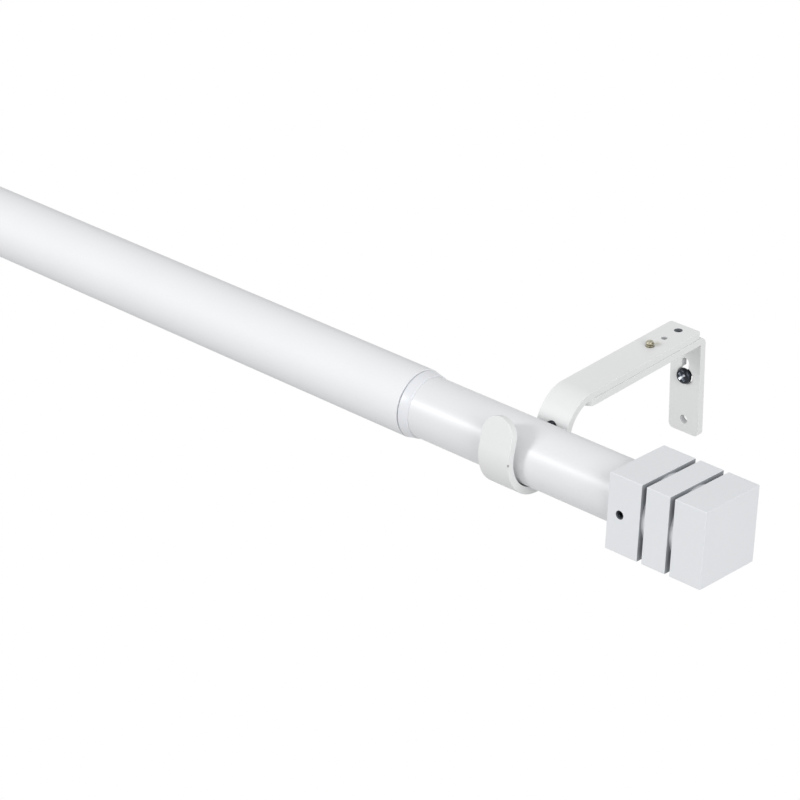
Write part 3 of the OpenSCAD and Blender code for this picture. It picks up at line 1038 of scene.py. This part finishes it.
# %% Screw shapes
SCREW_SIDES = 48
THREAD_STEPS = 8
VALLEY_FLAT = 0.12
THREAD_FLANK = 0.7
CROSS_ARM_ANGLE = math.radians(15)
NEARLY_NOTHING = 1e-6


def circle(radius):
    """A round ring."""
    return lambda angle: radius


def hexagon(half_across):
    """A ring with six flats."""
    sixth = math.pi / 3
    return lambda angle: half_across / math.cos((angle + sixth / 2) % sixth - sixth / 2)


def cross(reach):
    """A cross whose arms grow wider with their reach."""
    half_wide = reach * math.tan(CROSS_ARM_ANGLE)

    def shape(angle):
        level = max(abs(math.cos(angle)), NEARLY_NOTHING)
        upright = max(abs(math.sin(angle)), NEARLY_NOTHING)
        return max(min(reach / level, half_wide / upright), min(half_wide / level, reach / upright))
    return shape


def thread(height, crest, core, pitch):
    """One ring of a thread: crests and valleys that climb by one pitch in each turn."""
    def shape(angle):
        turn = (height / pitch + angle / (2 * math.pi)) % 1
        ramp = min(1, max(0, (abs(2 * turn - 1) - VALLEY_FLAT) / THREAD_FLANK))
        return core + (crest - core) * ramp
    return shape


def threaded(start, end, crest, core, pitch):
    """Rings of a thread from one height down to a lower one."""
    steps = max(2, math.ceil((start - end) / pitch * THREAD_STEPS))
    heights = [start + (end - start) * i / steps for i in range(steps + 1)]
    # These rings carry painted shade, darker the deeper the valley.
    return [(height, thread(height, crest, core, pitch), "valley_shade") for height in heights]


def screw_body(name, rings, crest, core, origin, axis):
    """Closes a stack of rings and marks the painted shade of its valleys and the painted glint of
    its recess.
    """
    axis, side, other = unit_axes(axis)
    bm = bmesh.new()
    valley_shade = bm.verts.layers.float.new("valley_shade")
    recess_glint = bm.verts.layers.float.new("recess_glint")
    loops = []
    for height, shape, mark in rings:
        loop = []
        for i in range(SCREW_SIDES):
            angle = 2 * math.pi * i / SCREW_SIDES
            radius = shape(angle)
            spoke = (side * math.cos(angle) + other * math.sin(angle)) * radius
            vert = bm.verts.new(Vector(origin) + axis * height + spoke)
            if mark == "valley_shade":
                # Painted shade: darker the deeper the valley.
                vert[valley_shade] = (crest - radius) / (crest - core)
            if mark == "recess_glint":
                vert[recess_glint] = 1
            loop.append(vert)
        loops.append(loop)
    for first, second in zip(loops, loops[1:]):
        strip_between(bm, first, second)
    bm.faces.new(loops[0])
    bm.faces.new(loops[-1][::-1])
    return new_piece(name, bm)


print("hexagon corner and cross arm", round(hexagon(1)(math.pi / 6), 3), cross(1)(0))

# %% [markdown]
# A pan head is a low rim with a rounded top, and the cross in it narrows towards its floor.
# Machine screws and wood screws have the same head here, told by shares of its own radius
# and height.

# %% Heads
RIM_SHARE = 0.45
TOP_SHARE = 0.62
CROSS_SHARE = 0.31
CROSS_DEPTH_SHARE = 0.55
CROSS_TAPER = 0.55
CROSS_EDGE_DEPTH = 0.05 * MM
CROSS_EDGE = 0.04 * MM
HEAD_EDGE = 0.15 * MM
HEAD_STEPS = 6


def pan_head(radius, height):
    """Rings of a pan head, from the bottom of its cross to its underside."""
    reach = 2 * radius * CROSS_SHARE
    floor_height = height * (1 - CROSS_DEPTH_SHARE)
    # The recess rings carry the painted glint.
    rings = [
        (floor_height, cross(reach * CROSS_TAPER), "recess_glint"),
        (height - CROSS_EDGE_DEPTH, cross(reach), "recess_glint"),
        (height, cross(reach + CROSS_EDGE), "plain"),
    ]
    for sine, cosine in quarter_turn(HEAD_STEPS):
        spread = radius * (TOP_SHARE + (1 - TOP_SHARE) * sine)
        rings.append((height * (RIM_SHARE + (1 - RIM_SHARE) * cosine), circle(spread), "plain"))
    rings.append((HEAD_EDGE, circle(radius), "plain"))
    rings.append((0, circle(radius - HEAD_EDGE), "plain"))
    return rings


print("a pan head has", len(pan_head(3 * MM, 2 * MM)), "rings")

# %% [markdown]
# Three kinds are needed. A machine screw's fine thread ends in a bevel, and a wood screw's
# coarse one runs out into a point. A set screw has no head but a hexagon socket. Their
# details are shares of the shank, and a fine thread's depth is a share of its pitch.

# %% Screw kinds
THREAD_DEPTH_SHARE = 0.5
TIP_SHARE = 0.15
TIP_INSET = 0.05 * MM
WOOD_CORE_SHARE = 0.68
POINT_SHARE = 1.8
POINT_STEPS = 13
POINT_R = 0.05 * MM
HEX_SHARE = 0.25
HEX_DEPTH_SHARE = 0.6
HEX_EDGE_DEPTH = 0.1 * MM
HEX_EDGE = 0.08 * MM


def machine_screw(name, head_r, head_h, length, shank_r, pitch, origin, axis):
    """A pan head on a thread that ends in a bevelled tip."""
    core = shank_r - THREAD_DEPTH_SHARE * pitch
    tip = 2 * shank_r * TIP_SHARE
    rings = pan_head(head_r, head_h)
    rings.append((0, circle(core), "plain"))
    rings += threaded(-pitch, tip - length, shank_r, core, pitch)
    rings.append((-length, circle(core - TIP_INSET), "plain"))
    return screw_body(name, rings, shank_r, core, origin, axis)


def wood_screw(name, head_r, head_h, length, shank_r, pitch, origin, axis):
    """A pan head on a coarse thread that runs out into a sharp point."""
    core = WOOD_CORE_SHARE * shank_r
    point = POINT_SHARE * shank_r
    rings = pan_head(head_r, head_h)
    rings.append((0, circle(core), "plain"))
    rings += threaded(-pitch / 2, point - length, shank_r, core, pitch)
    for i in range(1, POINT_STEPS):
        left = 1 - i / POINT_STEPS
        height = point - length - point * i / POINT_STEPS
        rings.append((height, thread(height, shank_r * left, core * left, pitch), "plain"))
    rings.append((-length, circle(POINT_R), "plain"))
    return screw_body(name, rings, shank_r, core, origin, axis)


def set_screw(name, length, shank_r, pitch, origin, axis):
    """A headless screw with a hexagon socket, from its outer end at the origin."""
    core = shank_r - THREAD_DEPTH_SHARE * pitch
    tip = 2 * shank_r * TIP_SHARE
    flat = 2 * shank_r * HEX_SHARE
    rings = [
        (-length * HEX_DEPTH_SHARE, hexagon(flat), "plain"),
        (-HEX_EDGE_DEPTH, hexagon(flat), "plain"),
        (0, hexagon(flat + HEX_EDGE), "plain"),
        (0, circle(core), "plain"),
    ]
    rings += threaded(-tip / 2, tip - length, shank_r, core, pitch)
    rings.append((-length, circle(shank_r - tip), "plain"))
    return screw_body(name, rings, shank_r, core, origin, axis)


print("a wood screw's point is", POINT_SHARE, "times its shank's radius long")

# %% [markdown]
# Each bracket has a brass-coloured machine screw through the leg's slot, a black wood screw in
# the keyhole and a black set screw behind the rod. Each finial has a small set screw. Their
# lengths and head sizes come from the boxes, and only heads, shanks and pitches are typed in.

# %% Place the screws
ARM_HEAD = 2.0 * MM
ARM_SHANK_R = 1.5 * MM
ARM_PITCH = 0.7 * MM
WALL_HEAD = 2.0 * MM
WALL_SHANK_R = 1.4 * MM
WALL_PITCH = 1.2 * MM
CRADLE_SHANK_R = 2.5 * MM
CRADLE_PITCH = 0.8 * MM
FINIAL_SHANK_R = 1.5 * MM
FINIAL_PITCH = 0.5 * MM
FINIAL_SCREW_LENGTH = 2.0 * MM


def bracket_screws(side):
    """The three screws of one bracket."""
    low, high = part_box(side + "_arm_screw")
    centre = middle(low, high)
    origin = (centre.x, centre.y, low.z + ARM_HEAD)
    length = high.z - low.z - ARM_HEAD
    piece = machine_screw(side + "_brass_machine_screw", (high.x - low.x) / 2, ARM_HEAD, length,
                          ARM_SHANK_R, ARM_PITCH, origin, (0, 0, -1))
    install(piece, side + "_arm_screw")

    low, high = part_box(side + "_wall_screw")
    centre = middle(low, high)
    origin = (centre.x, low.y + WALL_HEAD, centre.z)
    length = high.y - low.y - WALL_HEAD
    piece = wood_screw(side + "_black_wood_screw", (high.x - low.x) / 2, WALL_HEAD, length,
                       WALL_SHANK_R, WALL_PITCH, origin, (0, -1, 0))
    install(piece, side + "_wall_screw")

    low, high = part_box(side + "_cradle_screw")
    centre = middle(low, high)
    origin = (centre.x, high.y, centre.z)
    piece = set_screw(side + "_black_lock_screw", high.y - low.y, CRADLE_SHANK_R, CRADLE_PITCH,
                      origin, (0, 1, 0))
    install(piece, side + "_cradle_screw")


def finial_screw(side, turn):
    """The small set screw in a finial's front."""
    outward = Matrix.Rotation(turn, 3, "X") @ Vector((0, -1, 0))
    origin = middle(*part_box(side + "_finial_screw")) + outward * FINIAL_SCREW_LENGTH / 2
    piece = set_screw(side + "_black_finial_screw", FINIAL_SCREW_LENGTH, FINIAL_SHANK_R,
                      FINIAL_PITCH, origin, outward)
    install(piece, side + "_finial_screw")


for side in SIDES:
    bracket_screws(side)
finial_screw("left", 0)
finial_screw("right", RIGHT_FINIAL_TURN)

# %% [markdown]
# White paint in a white room needs soft, even light, and a backdrop that doesn't add to it.
# So the floor and the room have one face for the light, a plain grey, and another for the
# camera and for reflections, pure white. Light Path tells them apart.

# %% A floor and a room that look white
WHITE = (1, 1, 1, 1)
FLOOR_TONE = (0.54, 0.54, 0.54, 1)
FLOOR_X = 0.35
FLOOR_DROP = 0.35
FLOOR_SIDE = 30.0
ROOM_STRENGTH = 0.575


def white_when_seen(finish, for_light, seen_white):
    """One shader for the light, and another for the camera and in reflections."""
    path = "ShaderNodeLightPath"
    seen = finish.node(path, output="Is Camera Ray")
    seen = seen + finish.node(path, output="Is Glossy Ray")
    seen = seen + finish.node(path, output="Is Transmission Ray")
    mask = finish.node("ShaderNodeClamp", {}, {"Value": seen}, "Result")
    return finish.node("ShaderNodeMixShader", {}, {0: mask, 1: for_light, 2: seen_white})


def add_floor():
    """A wide sheet of paper far below the rod, which hangs on its brackets."""
    finish = Finish(bpy.data.materials.new("floor_paper"))
    matt = finish.node("ShaderNodeBsdfDiffuse", {}, {"Color": FLOOR_TONE})
    white = finish.node("ShaderNodeEmission", {}, {"Color": WHITE, "Strength": 1.0})
    bm = bmesh.new()
    bmesh.ops.create_grid(bm, x_segments=1, y_segments=1, size=FLOOR_SIDE / 2)
    floor = new_piece("floor", bm)
    floor.location = (FLOOR_X, 0, cad_low.z - FLOOR_DROP)
    floor.data.materials.append(finish.close(white_when_seen(finish, matt, white)))


def add_room():
    """Even light from all round."""
    room = Finish(bpy.data.worlds.new("white_room"))
    even = room.node("ShaderNodeBackground", {}, {"Color": WHITE, "Strength": ROOM_STRENGTH})
    white = room.node("ShaderNodeBackground", {}, {"Color": WHITE, "Strength": 1.0})
    shader = white_when_seen(room, even, white)
    bpy.context.scene.world = room.close(shader, "ShaderNodeOutputWorld")


add_floor()
add_room()
print("floor", FLOOR_DROP, "m below the part, room at", ROOM_STRENGTH)

# %% [markdown]
# Three lamps with large faces shape the rod. The strip stands far to the left, where only
# the glossier, thinner tube mirrors it as a band of shine. The small key in front on the
# left throws the tongue's shadow onto the tube. The big fill on the right lights the ends
# and tops of the finial and the bracket. Each lamp is told by the place along the rod that
# it faces, its offset from there, its width and height, and its power.

# %% Lamps
LAMPS = {
    "strip": (-0.28, (0, -1.37, 0.61), (0.34, 0.6), 5.2),
    "key": (0.6, (-0.80, -1.54, 0.98), (0.35, 0.35), 8.6),
    "fill": (0.6, (1.74, -0.54, 0.84), (1.2, 1.2), 17.4),
}


def add_lamp(name, faced_x, offset, size, power):
    """An area lamp that faces a place on the rod, its width level."""
    data = bpy.data.lights.new(name, "AREA")
    data.shape = "RECTANGLE"
    data.size = size[0]
    data.size_y = size[1]
    data.energy = power
    lamp = bpy.data.objects.new(name, data)
    target = Vector((faced_x, rod_y, rod_z))
    lamp.location = target + Vector(offset)
    lamp.rotation_euler = (target - lamp.location).to_track_quat("-Z", "Y").to_euler()
    bpy.context.scene.collection.objects.link(lamp)


for name, settings in LAMPS.items():
    add_lamp(name, *settings)
bpy.context.scene.view_settings.view_transform = "Standard"
print("lamps", ", ".join(LAMPS))
